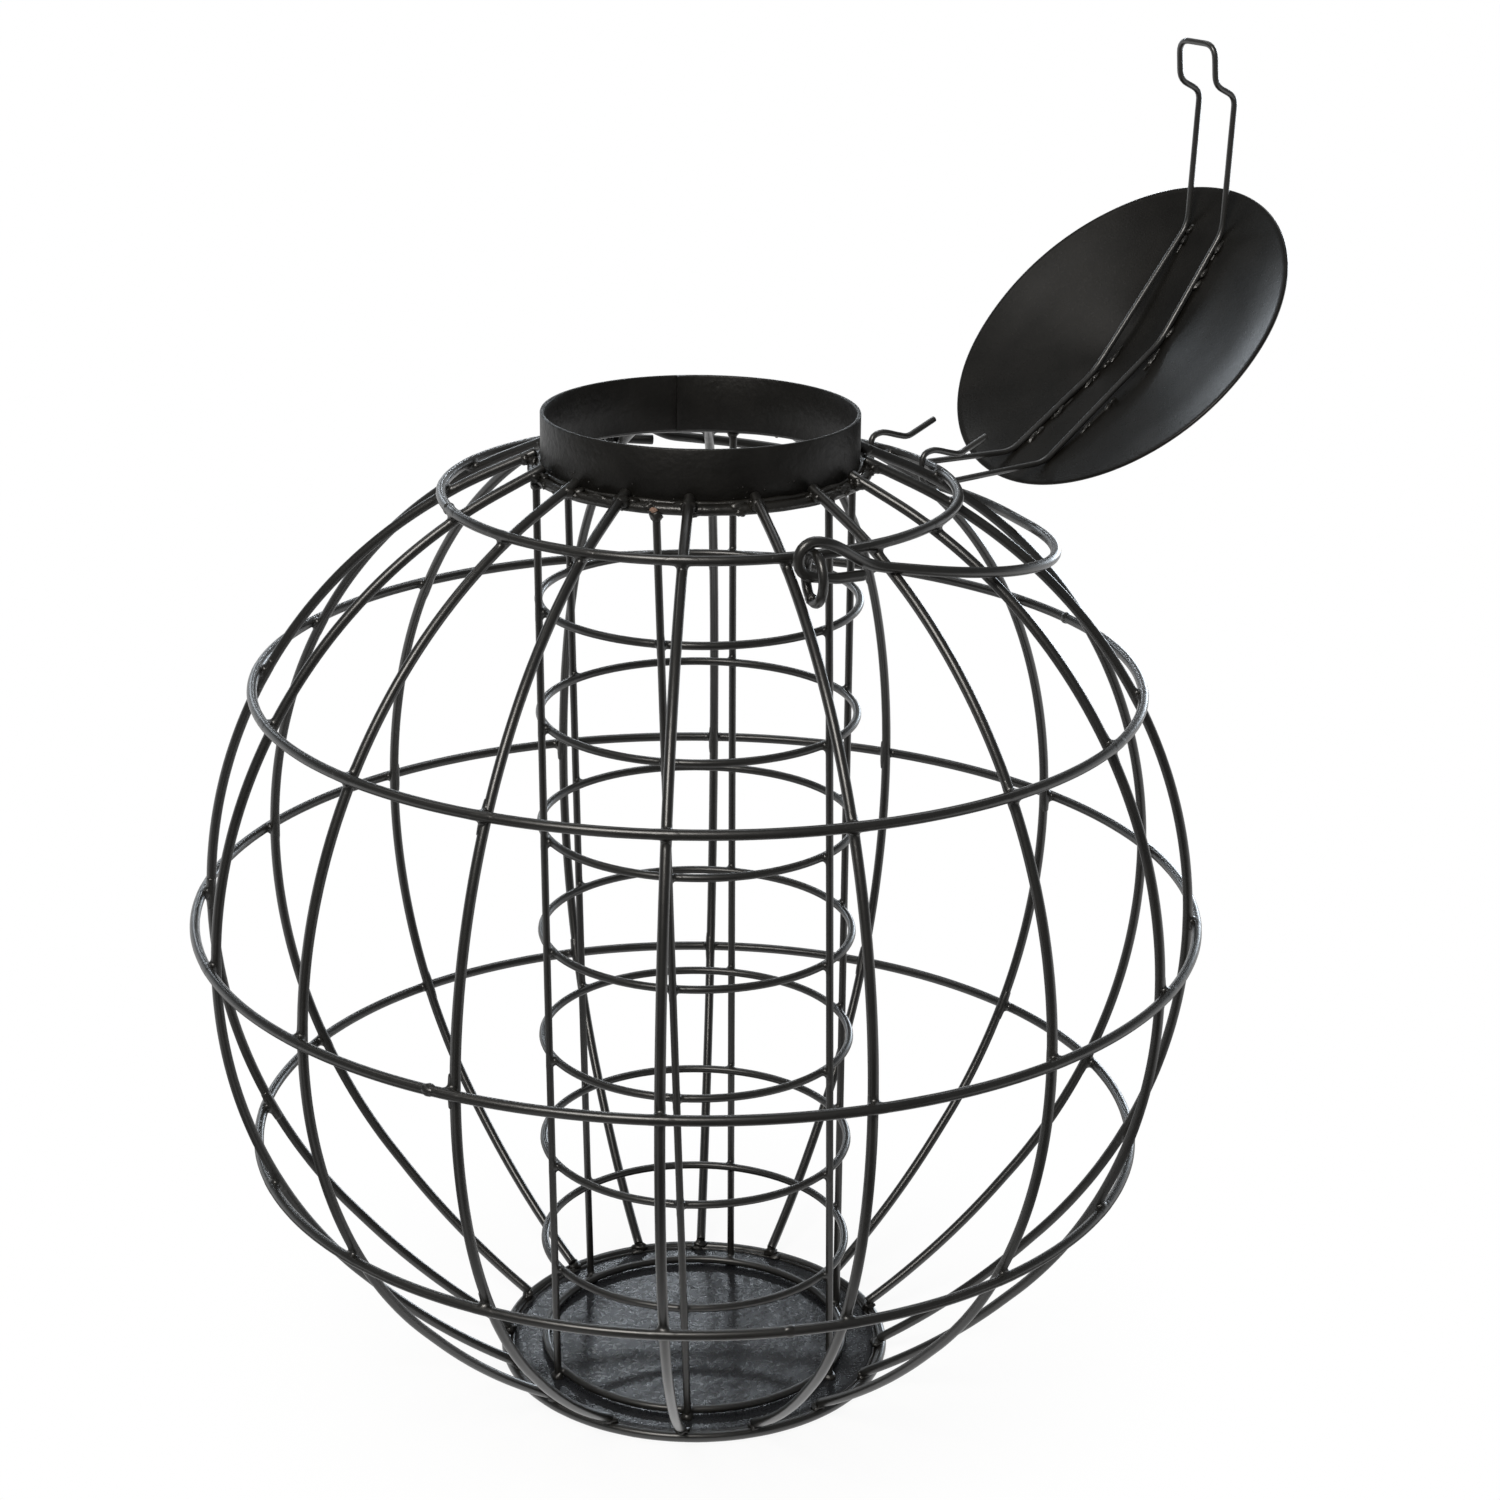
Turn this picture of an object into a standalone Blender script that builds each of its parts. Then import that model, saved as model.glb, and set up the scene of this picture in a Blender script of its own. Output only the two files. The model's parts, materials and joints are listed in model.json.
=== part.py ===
# Round wire suet feeder for fat balls: a ball-shaped cage of bent wires round an inner wire tube,
# with a rolled collar, a hinged lid that shuts with a spring tongue, and a swinging handle.
# Metres, +Z up. The origin is the centre of the base plate's underside, and -Y is the front.

import bpy
import math
from mathutils import Matrix, Vector

# Driving dimensions, in metres and degrees

weld_gap = 0.0003               # left between welded wires, which touch on the real feeder

rib_wire = 0.0024
ball_ring_wire = 0.0024
collar_ring_wire = 0.0025
base_ring_wire = 0.0025
tube_ring_wire = 0.0020
upright_wire = 0.0018
eye_wire = 0.0022
handle_wire = 0.0025
lid_wire_size = 0.0016

ball_radius = 0.1187            # rib centreline at the belly
ball_rise = 0.1205              # from the belly up to the rib's pole
belly_height = 0.11925
rib_azimuths = (203.2, 225.5, 246.5, 268.5, 290.4, 312.7, 335.2, 356.4,
                19.5, 41.0, 66.4, 90.1, 110.7, 135.5, 158.5, 180.6)
rib_top_angle = 67.2            # where a rib leaves the ball for the collar ring
rib_foot_angle = -45.0          # where a rib leaves the ball for the base
rib_tip_angle = 52.0            # where a rib's top end lies round the collar ring
rib_heel_angle = 107.0          # where its lower end lies round the base ring
ball_ring_angles = (60.2, 29.6, 1.4, -26.7)

tube_ring_radius = 0.0378
tube_top_gap = 0.0302           # from the tube's top ring up to the ends of its uprights
tube_ring_count = 8
upright_azimuths = ((23.0, 26.0), (78.0, 80.5), (136.0, 146.0),
                    (213.0, 201.0), (270.0, 258.0), (331.0, 319.0))

collar_radius = 0.0372
collar_wall = 0.0012
collar_height = 0.0136
collar_sink = 0.0087            # from the pole of the ribs' ellipse down to the collar's foot
collar_lip = 0.0003
collar_ring_rise = 0.0002       # from the collar's foot up to the middle of its ring

base_ring_radius = 0.0478
base_plate_thickness = 0.0015
base_plate_edge = 0.0004

handle_azimuth = 293.7          # the handle's pivot line, seen from above
eye_sink = 0.0170               # from the pole of the ribs' ellipse down to an eye's middle
eye_half_height = 0.0055
eye_half_width = 0.0048
handle_loop_radius = 0.0039
handle_length = 0.0850
handle_half_width = 0.0630
handle_bow_radius = 0.0570
handle_drop = 0.0014            # from the pivot line down to the bow's plane
handle_neck = 0.0190            # from the pivot to where the bow's straight side starts
handle_tail = 0.0135
handle_fall = 10.0              # how far below level the handle lies at rest

lid_azimuth = 35.3
lid_radius = 0.04755
lid_thickness = 0.0010
lid_peak = 0.0093
lid_crown_radius = 0.0060
lid_lean = 135.8                # from level over the collar to the open position
lid_reach = 0.0642              # from the hinge line in to the lid's centre, when level
lid_lift = 0.0284               # from the hinge line up to the lid's rim, when level
hinge_outset = 0.0007           # the hinge line, beside and below the ring that it hooks round
hinge_drop = 0.0020
lid_wire_spread = 0.00654       # half the distance between the lid's two wires
hook_spread = 0.0104
hook_slack = 0.0008
tongue_end_reach = 0.0644       # the tongue, out from the lid's centre and down from its rim
tongue_end_drop = 0.0370
catch_foot_reach = 0.0582
catch_foot_drop = 0.0292
catch_top_reach = 0.0608
catch_top_drop = 0.0222
tongue_corner = 0.0035
catch_corner = 0.0024
lid_wire_bend = 0.0030
near_bend = 0.0395
far_bend = 0.0362
left_centre_bend = 0.0089
right_centre_bend = -0.0048

six_sides = 1                   # bevel resolutions of a wire
eight_sides = 2
ring_points = 48
small_ring_points = 36
merge_distance = 0.00001

# Worked out from them

ball_top = belly_height + ball_rise
collar_foot = ball_top - collar_sink
collar_ring_height = collar_foot + collar_ring_rise
eye_height = ball_top - eye_sink
upright_radius = tube_ring_radius + tube_ring_wire / 2 + weld_gap + upright_wire / 2
collar_ring_radius = collar_radius + weld_gap + collar_ring_wire / 2
base_plate_radius = base_ring_radius - base_ring_wire / 2 - weld_gap
tube_floor = base_plate_thickness + weld_gap
upright_top = collar_ring_height - collar_ring_wire / 2 - weld_gap
low_tube_ring_height = tube_floor + tube_ring_wire / 2
tube_ring_pitch = (upright_top - tube_top_gap - low_tube_ring_height) / (tube_ring_count - 1)


def polar(radius, azimuth, height):
    """Point at a distance from the feeder's axis, in a direction seen from above."""
    turn = math.radians(azimuth)
    return Vector((radius * math.cos(turn), radius * math.sin(turn), height))


def on_ball(angle, outset=0.0):
    """Radius and height of the rib's ellipse at an angle above the belly, moved out square to it."""
    turn = math.radians(angle)
    normal = Vector((math.cos(turn) / ball_radius, math.sin(turn) / ball_rise)).normalized()
    return Vector((ball_radius * math.cos(turn), belly_height + ball_rise * math.sin(turn))) + normal * outset


def quadratic(start, middle, end, count):
    """Points on a curve that leaves start towards middle and arrives at end from it."""
    points = []
    for step in range(1, count + 1):
        share = step / count
        points.append(start.lerp(middle, share).lerp(middle.lerp(end, share), share))
    return points


def rounded(corners, cuts, steps=3):
    """The line through the corners, each cut back by its own distance and rounded."""
    points = [corners[0]]
    for before, corner, after, cut in zip(corners, corners[1:], corners[2:], cuts):
        start = corner + (before - corner).normalized() * cut
        end = corner + (after - corner).normalized() * cut
        points.append(start)
        points += quadratic(start, corner, end, steps)
    return points + [corners[-1]]


def steel(name, colour, roughness):
    material = bpy.data.materials.new(name)
    material.use_nodes = True
    shader = material.node_tree.nodes["Principled BSDF"]
    shader.inputs["Base Color"].default_value = (*colour, 1.0)
    shader.inputs["Metallic"].default_value = 0.0
    shader.inputs["Roughness"].default_value = roughness
    material.diffuse_color = (*colour, 1.0)
    return material


def add_object(name, data, material, parent=None):
    item = bpy.data.objects.new(name, data)
    item.data.materials.append(material)
    feeder.objects.link(item)
    item.parent = parent
    return item


def wire(name, points, diameter, material, sides=six_sides, closed=False, parent=None):
    """Round wire along the points, with flat cut ends or joined into a ring."""
    curve = bpy.data.curves.new(name, "CURVE")
    curve.dimensions = "3D"
    curve.bevel_depth = diameter / 2
    curve.bevel_resolution = sides
    curve.use_fill_caps = not closed
    spline = curve.splines.new("POLY")
    spline.points.add(len(points) - 1)
    for target, point in zip(spline.points, points):
        target.co = (*point, 1.0)
    spline.use_cyclic_u = closed
    return add_object(name, curve, material, parent)


def ring(name, radius, height, diameter, material, count=ring_points, clear_inside=True):
    """Welded wire ring. clear_inside keeps the middles of its straight steps at the radius."""
    reach = radius / math.cos(math.pi / count) if clear_inside else radius
    points = [polar(reach, 360 * step / count, height) for step in range(count)]
    return wire(name, points, diameter, material, closed=True)


def turned(name, profile, material, parent=None, closed=False):
    """Solid turned round Z from a profile of radius and height, read down its outer side."""
    mesh = bpy.data.meshes.new(name)
    count = len(profile)
    edges = [(index, index + 1) for index in range(count - 1)]
    if closed:
        edges.append((count - 1, 0))
    mesh.from_pydata([(radius, 0.0, height) for radius, height in profile], edges, [])
    item = add_object(name, mesh, material, parent)
    screw = item.modifiers.new("Turn", "SCREW")
    screw.steps = ring_points
    screw.render_steps = ring_points
    screw.use_merge_vertices = True
    screw.merge_threshold = merge_distance
    screw.use_smooth_shade = False
    return item


def make_collar():
    inner = collar_radius - collar_wall
    top = collar_foot + collar_height
    profile = [(collar_radius - collar_lip, top), (collar_radius, top - collar_lip),
               (collar_radius, collar_foot), (inner, collar_foot),
               (inner, top - collar_lip), (inner + collar_lip, top)]
    turned("collar", profile, steel("collar_steel", (0.020, 0.019, 0.017), 0.5), closed=True)
    ring("collar_ring", collar_ring_radius, collar_ring_height, collar_ring_wire,
         steel("collar_ring_steel", (0.022, 0.020, 0.018), 0.42))


def make_base():
    edge = base_plate_edge
    profile = [(0.0, base_plate_thickness), (base_plate_radius - edge, base_plate_thickness),
               (base_plate_radius, base_plate_thickness - edge), (base_plate_radius, edge),
               (base_plate_radius - edge, 0.0), (0.0, 0.0)]
    turned("base_plate", profile, steel("base_plate_steel", (0.045, 0.047, 0.050), 0.5))
    ring("base_rim_ring", base_ring_radius, base_ring_wire / 2, base_ring_wire,
         steel("base_rim_ring_steel", (0.022, 0.020, 0.018), 0.42))


def make_tube():
    for index in range(tube_ring_count):
        height = low_tube_ring_height + tube_ring_pitch * (tube_ring_count - 1 - index)
        name = "tube_ring_%d" % (index + 1)
        ring(name, tube_ring_radius, height, tube_ring_wire,
             steel(name + "_steel", (0.024, 0.023, 0.021), 0.42),
             small_ring_points, clear_inside=False)
    steps = 7
    for index, (foot, top) in enumerate(upright_azimuths):
        points = []
        for step in range(steps + 1):
            share = step / steps
            height = tube_floor + (upright_top - tube_floor) * share
            points.append(polar(upright_radius, foot + (top - foot) * share, height))
        name = "tube_upright_%d" % (index + 1)
        wire(name, points, upright_wire, steel(name + "_steel", (0.023, 0.022, 0.020), 0.42))


def rib_profile():
    """One rib from its top end on the collar ring to its lower end on the base ring."""
    tip_turn = math.radians(rib_tip_angle)
    heel_turn = math.radians(rib_heel_angle)
    tip_reach = collar_ring_wire / 2 + weld_gap + rib_wire / 2
    heel_reach = base_ring_wire / 2 + weld_gap + rib_wire / 2
    tip = Vector((collar_ring_radius, collar_ring_height))
    tip += Vector((math.cos(tip_turn), math.sin(tip_turn))) * tip_reach
    heel = Vector((base_ring_radius, base_ring_wire / 2))
    heel += Vector((math.cos(heel_turn), math.sin(heel_turn))) * heel_reach

    longest_step = 10.5
    stops = [rib_top_angle, *ball_ring_angles, rib_foot_angle]
    points = [tip, on_ball(stops[0])]
    for high, low in zip(stops, stops[1:]):
        count = math.ceil((high - low) / longest_step)
        points += [on_ball(high + (low - high) * step / count) for step in range(1, count + 1)]
    down = (points[-1] - on_ball(rib_foot_angle + 1)).normalized()
    foot = points[-1]
    middle = foot + down * (heel - foot).length / 2
    return points + quadratic(foot, middle, heel, 4)


def make_ball():
    profile = rib_profile()
    for index, azimuth in enumerate(rib_azimuths):
        name = "ball_rib_%02d" % (index + 1)
        wire(name, [polar(radius, azimuth, height) for radius, height in profile], rib_wire,
             steel(name + "_steel", (0.022, 0.020, 0.018), 0.40))
    for index, angle in enumerate(ball_ring_angles):
        radius, height = on_ball(angle, (rib_wire + ball_ring_wire) / 2 + weld_gap)
        name = "ball_ring_%d" % (index + 1)
        ring(name, radius, height, ball_ring_wire, steel(name + "_steel", (0.022, 0.020, 0.018), 0.40))


def hinge_ring():
    """Radius and height of the top ring of the ball, which the lid and the handle's eyes sit on."""
    return on_ball(ball_ring_angles[0], (rib_wire + ball_ring_wire) / 2 + weld_gap)


def eye_centre():
    """Distance of an eye's middle from the axis, with its inner side against the top ring."""
    ring_radius, ring_height = hinge_ring()
    ring_radius /= math.cos(math.pi / ring_points)
    reach = (ball_ring_wire + eye_wire) / 2 + weld_gap
    rise_share = (ring_height - eye_height) / (eye_half_height + reach)
    return ring_radius + (eye_half_width + reach) * math.sqrt(1 - rise_share ** 2)


def make_eyes():
    count = 20
    for name, azimuth in (("handle_eye_front", handle_azimuth), ("handle_eye_back", handle_azimuth - 180)):
        points = []
        for step in range(count):
            turn = math.tau * step / count
            radius = eye_centre() + eye_half_width * math.cos(turn)
            points.append(polar(radius, azimuth, eye_height + eye_half_height * math.sin(turn)))
        wire(name, points, eye_wire, steel(name + "_steel", (0.022, 0.020, 0.018), 0.42), closed=True)


def make_handle():
    """The handle's wire lies in its own frame: X out along the bow, Y along the pivot line, Z up."""
    loop_offset = handle_loop_radius - (handle_wire + eye_wire) / 2 - weld_gap
    pivot = bpy.data.objects.new("handle_pivot", None)
    feeder.objects.link(pivot)
    pivot.location = (0.0, 0.0, eye_height + eye_half_height - loop_offset)
    pivot.rotation_euler = (0.0, math.radians(handle_fall), math.radians(handle_azimuth - 270))

    loop_side = eye_centre()
    loop_steps = 12
    side = [Vector((handle_tail, loop_side - handle_wire, -handle_loop_radius * 0.82)),
            Vector((handle_tail / 2, loop_side - handle_wire / 4, -handle_loop_radius))]
    for step in range(loop_steps + 1):
        turn = math.radians(-90 - 180 * step / loop_steps)
        side.append(Vector((handle_loop_radius * math.cos(turn), loop_side,
                            handle_loop_radius * math.sin(turn))))
    neck_end = Vector((handle_neck, handle_half_width, -handle_drop))
    shoulder = Vector((handle_neck * 0.36, loop_side, handle_loop_radius))
    waist = Vector((handle_neck * 0.62, handle_half_width, -handle_drop))
    loop_top = side[-1]
    neck_steps = 8
    for step in range(1, neck_steps + 1):
        share = step / neck_steps
        first = loop_top.lerp(shoulder, share)
        second = shoulder.lerp(waist, share)
        third = waist.lerp(neck_end, share)
        side.append(first.lerp(second, share).lerp(second.lerp(third, share), share))
    bow_steps = 13
    bow_x = handle_length - handle_bow_radius
    bow_y = handle_half_width - handle_bow_radius
    for step in range(bow_steps + 1):
        turn = math.radians(90 - 90 * step / bow_steps)
        side.append(Vector((bow_x + handle_bow_radius * math.cos(turn),
                            bow_y + handle_bow_radius * math.sin(turn), -handle_drop)))
    other_side = [Vector((point.x, -point.y, point.z)) for point in reversed(side)]
    wire("handle", side + other_side, handle_wire, steel("handle_steel", (0.022, 0.020, 0.018), 0.38),
         eight_sides, parent=pivot)


def lid_underside(x, y):
    """Height at which the lid's wires lie against its underside, over the rim's level."""
    slope = lid_peak / lid_radius
    surface = lid_peak - slope * math.hypot(x, y)
    return surface - (lid_thickness / 2 + weld_gap + lid_wire_size / 2) * math.hypot(1.0, slope)


def hook_points(sign):
    """Open hook round the top ring, from the lid's leg to the cut tail, in the level lid's frame."""
    reach = (ball_ring_wire + lid_wire_size) / 2 + hook_slack
    out_shares = (2.3, 1.1, 0.0, -0.8, -1.0, -0.72, 0.1, 0.93, 2.3, 3.35, 4.55, 6.45)
    up_shares = (-1.93, -2.05, -1.87, -1.2, 0.0, 0.93, 1.2, 1.08, 0.66, 0.45, 0.83, 1.55)
    side_shares = (0.92, 0.96, 0.98, 0.99, 1.0, 1.01, 1.02, 1.04, 1.07, 1.10, 1.13, 1.17)
    if sign < 0:
        side_shares = (0.92, 0.96, 0.98, 0.99, 1.0, 1.0, 0.99, 0.97, 0.93, 0.90, 0.87, 0.84)
    lean = Matrix.Rotation(-math.radians(lid_lean), 3, "Y")
    hinge_line = Vector((lid_reach, 0.0, -lid_lift))
    points = []
    for out_share, up_share, side_share in zip(out_shares, up_shares, side_shares):
        from_hinge = Vector((out_share * reach - hinge_outset, 0.0, up_share * reach + hinge_drop))
        point = hinge_line + lean @ from_hinge
        points.append(point + Vector((0.0, sign * side_share * hook_spread, 0.0)))
    return points


def softened(points, steps=2):
    """Points on a smooth curve through the given points."""
    smooth = []
    for index in range(len(points) - 1):
        first = points[max(index - 1, 0)]
        start, end = points[index], points[index + 1]
        last = points[min(index + 2, len(points) - 1)]
        for step in range(steps):
            share = step / steps
            pull = (end - first) * (share - 2 * share ** 2 + share ** 3)
            push = (last - start) * (share ** 3 - share ** 2)
            blend = start + (end - start) * (3 * share ** 2 - 2 * share ** 3)
            smooth.append(blend + (pull + push) / 2)
    return smooth + [points[-1]]


def lid_leg(sign, centre_bend):
    """Half of the lid's wire, from the middle of the tongue's end to the cut tail of one hook."""
    side = sign * lid_wire_spread
    hook = hook_points(sign)
    corners = [Vector((-tongue_end_reach, 0.0, -tongue_end_drop)),
               Vector((-tongue_end_reach, side, -tongue_end_drop)),
               Vector((-catch_foot_reach, side, -catch_foot_drop)),
               Vector((-catch_top_reach, side, -catch_top_drop)),
               Vector((-far_bend, side, lid_underside(far_bend, side))),
               Vector((centre_bend, side, lid_underside(centre_bend, side))),
               Vector((near_bend, side, lid_underside(near_bend, side))),
               hook[0]]
    cuts = [tongue_corner, catch_corner, catch_corner, lid_wire_bend, lid_wire_bend, lid_wire_bend]
    return rounded(corners, cuts)[:-1] + softened(hook)


def make_lid():
    """The lid lies in its own frame: X towards its hinge, Z up when level, origin at the rim's centre."""
    ring_radius, ring_height = hinge_ring()
    hook_distance = math.sqrt(ring_radius ** 2 - hook_spread ** 2)
    pivot = bpy.data.objects.new("lid_pivot", None)
    feeder.objects.link(pivot)
    pivot.location = polar(hook_distance + hinge_outset, lid_azimuth, ring_height - hinge_drop)
    pivot.rotation_euler = (0.0, math.radians(lid_lean), math.radians(lid_azimuth))
    from_pivot = Matrix.Translation((-lid_reach, 0.0, lid_lift))

    half = lid_thickness / 2
    crown = lid_peak * (1 - lid_crown_radius / lid_radius)
    peak = lid_peak * (1 - lid_crown_radius / lid_radius / 2)
    profile = [(0.0, peak + half), (lid_crown_radius, crown + half), (lid_radius, half),
               (lid_radius, -half), (lid_crown_radius, crown - half), (0.0, peak - half)]
    disc = turned("lid_disc", profile, steel("lid_disc_steel", (0.020, 0.019, 0.018), 0.45), pivot)
    disc.matrix_local = from_pivot

    points = lid_leg(1, left_centre_bend)
    points.reverse()
    points += lid_leg(-1, right_centre_bend)[1:]
    lid_wire = wire("lid_wire", points, lid_wire_size, steel("lid_wire_steel", (0.022, 0.020, 0.018), 0.42),
                    eight_sides, parent=pivot)
    lid_wire.matrix_local = from_pivot


for item in list(bpy.data.objects):
    bpy.data.objects.remove(item)
feeder = bpy.data.collections.new("suet_feeder")
bpy.context.scene.collection.children.link(feeder)

make_collar()
make_base()
make_tube()
make_ball()
make_eyes()
make_handle()
make_lid()
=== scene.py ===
# The look of the round wire suet feeder: fine coated wires, their welds, the collar, the base
# and the lid, each built over the solids of the frame and moving with them.

import json
import math
import random

import bpy
from mathutils import Matrix, Vector, noise


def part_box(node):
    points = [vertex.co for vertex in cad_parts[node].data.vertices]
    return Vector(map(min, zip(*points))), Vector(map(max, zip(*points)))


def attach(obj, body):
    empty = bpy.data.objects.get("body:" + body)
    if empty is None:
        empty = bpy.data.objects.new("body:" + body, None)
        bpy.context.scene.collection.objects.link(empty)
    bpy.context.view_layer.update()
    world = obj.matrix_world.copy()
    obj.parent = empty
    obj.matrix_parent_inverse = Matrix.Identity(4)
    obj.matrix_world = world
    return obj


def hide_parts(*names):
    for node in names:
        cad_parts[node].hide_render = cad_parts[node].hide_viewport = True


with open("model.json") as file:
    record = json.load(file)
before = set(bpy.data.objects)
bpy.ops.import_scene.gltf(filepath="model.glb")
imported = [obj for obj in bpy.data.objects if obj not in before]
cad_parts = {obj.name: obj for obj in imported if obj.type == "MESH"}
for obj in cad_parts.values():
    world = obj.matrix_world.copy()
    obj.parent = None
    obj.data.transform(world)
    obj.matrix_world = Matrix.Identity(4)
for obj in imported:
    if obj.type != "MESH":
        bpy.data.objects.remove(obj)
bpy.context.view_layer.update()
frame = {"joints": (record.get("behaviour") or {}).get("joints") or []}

# Diameters of the coated wires. All lengths here are in metres.

rib_wire = 0.00240
ball_ring_wire = 0.00242
collar_ring_wire = 0.00250
base_ring_wire = 0.00255
tube_ring_wire = 0.00196
upright_wire = 0.00182
eye_wire = 0.00225
handle_wire = 0.00252
lid_wire_size = 0.00152

# How a wire is meshed

wire_sides = 14
wire_step = 0.0022
collar_ring_step = 0.0014
loop_step = 0.0011
lid_wire_step = 0.0010
coat_waver = 0.012              # how much the coat varies, as a share of the radius
waver_scale = 260.0
tip_length = 0.22               # a cut end is rounded over this share of the radius
tip_shares = ((0.0, 0.78), (0.25, 0.93), (1.0, 1.0))    # how far along that, and the radius there

# Melted crossings of two wires, in shares of the thicker wire's radius

weld_sink = 0.00030             # how far welded wires are melted into each other
weld_reach = 3.4
weld_skin = 1.045               # radius of the melted skin in the middle
weld_skin_loss = 0.22           # how fast it sinks under the wires' skin towards its ends
weld_core = 1.38
weld_core_height = 0.62         # as a share of the distance between the two wires
melt_voxel = 0.00030

# The cage's bars, as bent by hand: degrees round the axis, and round the bar's own curve

rib_azimuths = (203.2, 225.5, 246.5, 268.5, 290.4, 312.7, 335.2, 356.4,
                19.5, 41.0, 66.4, 90.1, 110.7, 135.5, 158.5, 180.6)
ball_radius = 0.1190
ball_rise = 0.1207
belly_height = 0.11925
rib_lean = 0.25                 # how far round a bar's middle may be out of line, in degrees
rib_top_angle = 67.2
rib_foot_angle = -45.0
rib_tip_angle = 52.0
rib_heel_angle = 107.0
tip_lap = 0.0029                # how far the bars' top ends reach up the collar from its ring
tip_stand_off = 0.44            # how far they stand off it, as a share of the wire's diameter
ball_ring_angles = (60.2, 29.6, 1.4, -26.7)
butt_azimuths = (200.5, 30.0, 244.2, 283.2)
upright_azimuths = ((23.0, 26.0), (78.0, 80.5), (136.0, 146.0),
                    (213.0, 201.0), (270.0, 258.0), (331.0, 319.0))

# The collar's band and the base's sheet

sharp_edge = math.radians(50)
collar_wall = 0.00095
collar_lip = 0.00030
collar_wave = 0.00010
seam_azimuth = 101.5
seam_lap = 0.00100              # step in the collar's inner side where its ends lap
seam_fade = 7.0                 # degrees over which that step dies away
base_edge = 0.0005
base_dent = 0.00016

# The handle and the lid, as they are bent

joints = {joint["name"]: joint for joint in frame["joints"]}
handle_azimuth = 293.7
handle_fall = 10.0
handle_wire_cad = 0.0025
handle_loop_radius = 0.0039
handle_length = 0.0850
handle_half_width = 0.0630
handle_bow_radius = 0.0570
handle_drop = 0.0014
handle_neck = 0.0190
handle_tail = 0.0135
eye_half_height = 0.0055
eye_half_width = 0.0048

lid_azimuth = 35.3
lid_radius = 0.04755
lid_thickness = 0.0010
lid_edge = 0.00042
lid_dent = 0.00022
lid_peak = 0.0093
lid_slope = lid_peak / lid_radius
lid_crown_radius = 0.0110
lid_curl_start = 0.0340         # from here the sheet dishes down a little more
lid_curl = 0.0008
lid_lean = 135.8
lid_reach = 0.0642
lid_lift = 0.0284
lid_wire_cad = 0.0016
ball_ring_cad = 0.0024
hinge_outset = 0.0007
hinge_drop = 0.0020
lid_wire_spread = 0.00654
hook_spread = 0.0104
hook_slack = 0.0008
tongue_end_reach = 0.0644
tongue_end_drop = 0.0370
catch_foot_reach = 0.0582
catch_foot_drop = 0.0292
catch_top_reach = 0.0608
catch_top_drop = 0.0222
tongue_corner = 0.0035
catch_corner = 0.0024
lid_wire_bend = 0.0030
near_bend = 0.0395
far_bend = 0.0362
left_centre_bend = 0.0089
right_centre_bend = -0.0048

dice = random.Random(11)


# Materials

def new_material(name):
    material = bpy.data.materials.new(name)
    material.use_nodes = True
    tree = material.node_tree
    return material, tree, tree.nodes["Principled BSDF"]


def add_node(tree, kind, settings=(), inputs=()):
    node = tree.nodes.new(kind)
    for key, value in settings:
        setattr(node, key, value)
    for key, value in inputs:
        node.inputs[key].default_value = value
    return node


def powder_coat(name, dark, light, rough, specular, grain_scale, grain, lump_scale, lump):
    """A coat of fine orange peel over slow waves, with a sheen that varies a little."""
    cloud_scale = 90.0
    dark_below, light_above = 0.35, 0.70
    smoother, rougher = 0.06, 0.08
    material, tree, shader = new_material(name)
    link = tree.links.new
    place = add_node(tree, "ShaderNodeTexCoord")
    noises = []
    for scale, detail in ((cloud_scale, 4.0), (grain_scale, 3.0), (lump_scale, 2.0)):
        texture = add_node(tree, "ShaderNodeTexNoise", inputs=(("Scale", scale), ("Detail", detail)))
        link(place.outputs["Object"], texture.inputs["Vector"])
        noises.append(texture.outputs["Fac"])
    cloud, peel, waves = noises
    colours = add_node(tree, "ShaderNodeValToRGB")
    stops = ((dark_below, dark), (light_above, light))
    for element, (position, colour) in zip(colours.color_ramp.elements, stops):
        element.position = position
        element.color = (*colour, 1.0)
    link(cloud, colours.inputs["Fac"])
    link(colours.outputs["Color"], shader.inputs["Base Color"])
    sheen_range = add_node(tree, "ShaderNodeMapRange",
                           inputs=(("To Min", rough - smoother), ("To Max", rough + rougher)))
    link(peel, sheen_range.inputs["Value"])
    link(sheen_range.outputs["Result"], shader.inputs["Roughness"])
    slow = add_node(tree, "ShaderNodeBump", inputs=(("Strength", 1.0), ("Distance", lump)))
    fine = add_node(tree, "ShaderNodeBump", inputs=(("Strength", 1.0), ("Distance", grain)))
    link(waves, slow.inputs["Height"])
    link(peel, fine.inputs["Height"])
    link(slow.outputs["Normal"], fine.inputs["Normal"])
    link(fine.outputs["Normal"], shader.inputs["Normal"])
    shader.inputs["Specular IOR Level"].default_value = specular
    return material


smooth_skin = {"grain_scale": 2600.0, "grain": 0.0000025, "lump_scale": 300.0, "lump": 0.00003}
cage_coat = powder_coat("cage_coat", (0.0068, 0.0064, 0.0055), (0.0115, 0.0109, 0.0095),
                        rough=0.31, specular=0.85, **smooth_skin)
tube_coat = powder_coat("tube_coat", (0.0075, 0.0071, 0.0062), (0.0130, 0.0124, 0.0110),
                        rough=0.32, specular=0.80, **smooth_skin)
weld_coat = powder_coat("weld_coat", (0.0070, 0.0064, 0.0054), (0.0150, 0.0138, 0.0118),
                        rough=0.32, specular=0.60, grain_scale=1500.0, grain=0.00003,
                        lump_scale=700.0, lump=0.00018)
collar_coat = powder_coat("collar_coat", (0.0045, 0.0041, 0.0034), (0.0090, 0.0084, 0.0072),
                          rough=0.44, specular=0.32, grain_scale=700.0, grain=0.00016,
                          lump_scale=100.0, lump=0.00030)
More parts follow.
